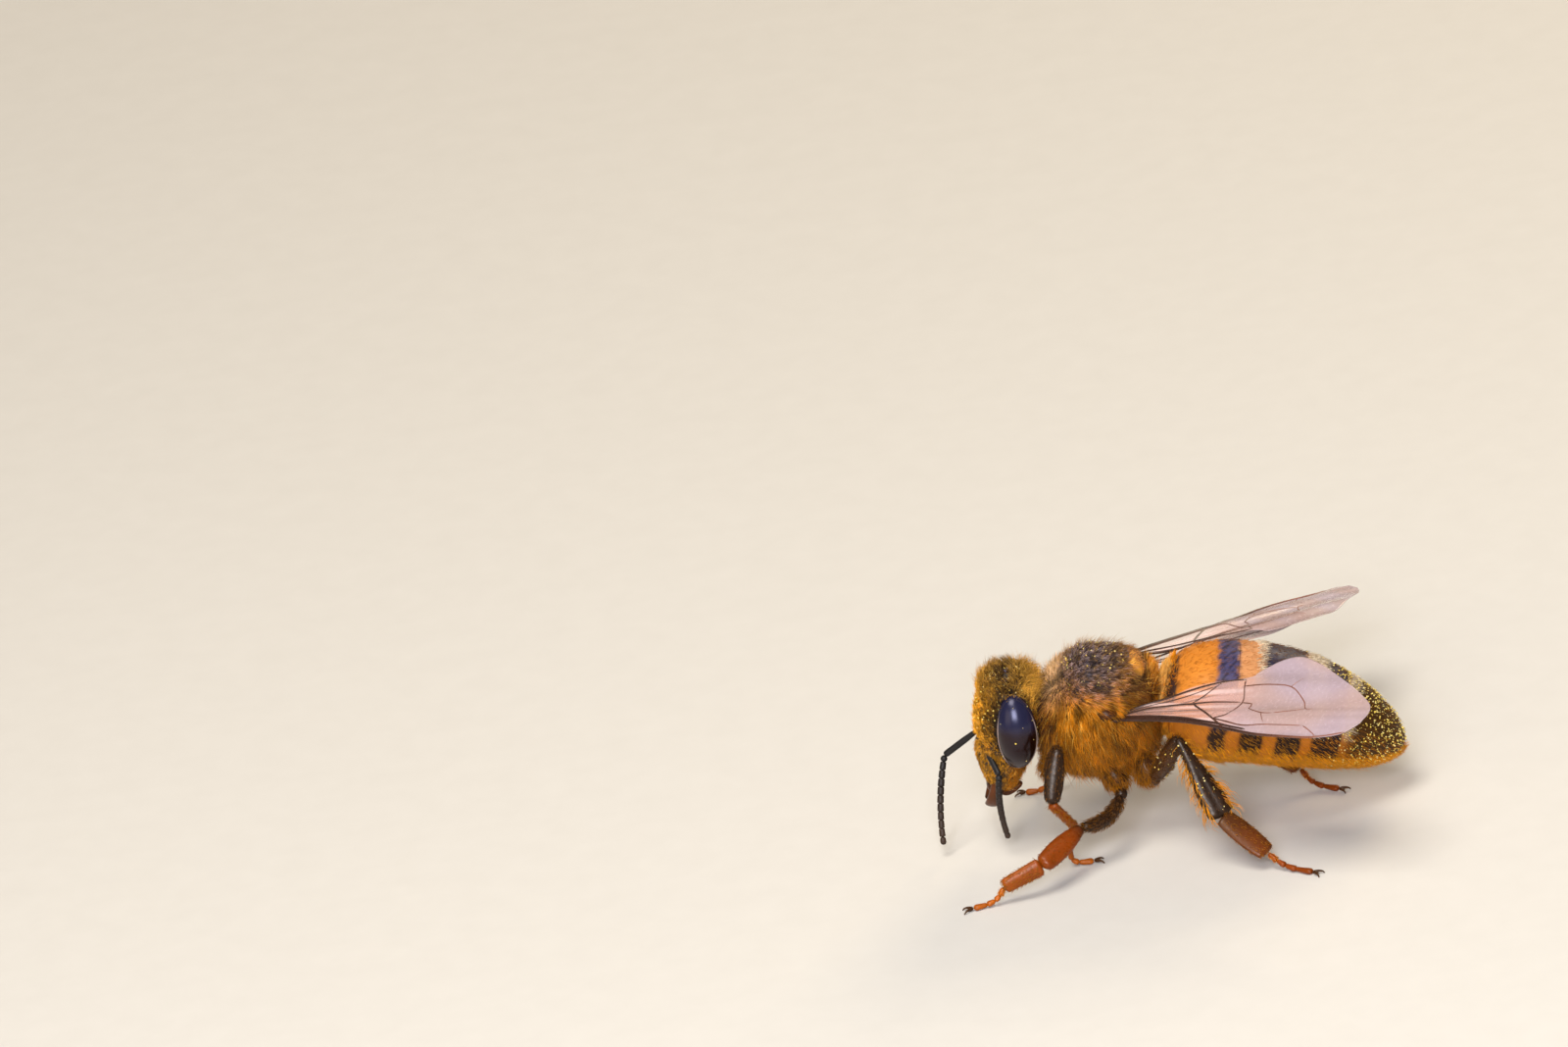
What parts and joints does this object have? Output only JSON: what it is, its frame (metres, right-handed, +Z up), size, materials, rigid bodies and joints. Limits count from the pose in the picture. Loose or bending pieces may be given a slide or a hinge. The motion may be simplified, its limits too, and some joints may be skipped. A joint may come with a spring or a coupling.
{
  "type": "honey bee",
  "caption": "Life-size worker honey bee standing on six feet, head, thorax, banded abdomen, wings and legs in named pieces.",
  "frame": {"origin": "middle of the bounding box's base, on the floor that the six feet stand on", "axes": "-X is forward, towards the head; -Y is the bee's left; +Z is up"},
  "size_m": [0.0146, 0.0138, 0.0064],
  "materials": {
    "coat": "dense golden-brown hair over dark cuticle",
    "shell": "glossy black-brown cuticle",
    "eye": "smooth black compound eye with a blue-violet sheen",
    "amber": "semi-gloss orange-amber cuticle with dark rear bands",
    "brown": "glossy red-brown cuticle",
    "wing": "clear, faintly smoky membrane with brown veins"
  },
  "bodies": {
    "root": {"abdomen_1": "amber", "abdomen_2": "amber", "abdomen_3": "amber", "abdomen_4": "shell", "abdomen_5": "shell", "abdomen_6": "shell", "antenna_scape_left": "shell", "antenna_scape_right": "shell", "antenna_whip_left": "shell", "antenna_whip_right": "shell", "eye_left": "eye", "eye_right": "eye", "forewing_left": "wing", "forewing_right": "wing", "head": "coat", "hindwing_left": "wing", "hindwing_right": "wing", "leg_fore_left_basitarsus": "brown", "leg_fore_left_coxa": "shell", "leg_fore_left_femur": "shell", "leg_fore_left_tibia": "shell", "leg_fore_left_toes": "brown", "leg_fore_right_basitarsus": "brown", "leg_fore_right_coxa": "shell", "leg_fore_right_femur": "shell", "leg_fore_right_tibia": "shell", "leg_fore_right_toes": "brown", "leg_hind_left_basitarsus": "brown", "leg_hind_left_coxa": "shell", "leg_hind_left_femur": "shell", "leg_hind_left_tibia": "shell", "leg_hind_left_toes": "brown", "leg_hind_right_basitarsus": "brown", "leg_hind_right_coxa": "shell", "leg_hind_right_femur": "shell", "leg_hind_right_tibia": "shell", "leg_hind_right_toes": "brown", "leg_mid_left_basitarsus": "brown", "leg_mid_left_coxa": "shell", "leg_mid_left_femur": "shell", "leg_mid_left_tibia": "shell", "leg_mid_left_toes": "brown", "leg_mid_right_basitarsus": "brown", "leg_mid_right_coxa": "shell", "leg_mid_right_femur": "shell", "leg_mid_right_tibia": "shell", "leg_mid_right_toes": "brown", "mandible_left": "brown", "mandible_right": "brown", "neck": "coat", "proboscis": "brown", "scutellum": "amber", "tegula_left": "brown", "tegula_right": "brown", "thorax": "coat", "waist": "shell"}
  },
  "joints": []
}
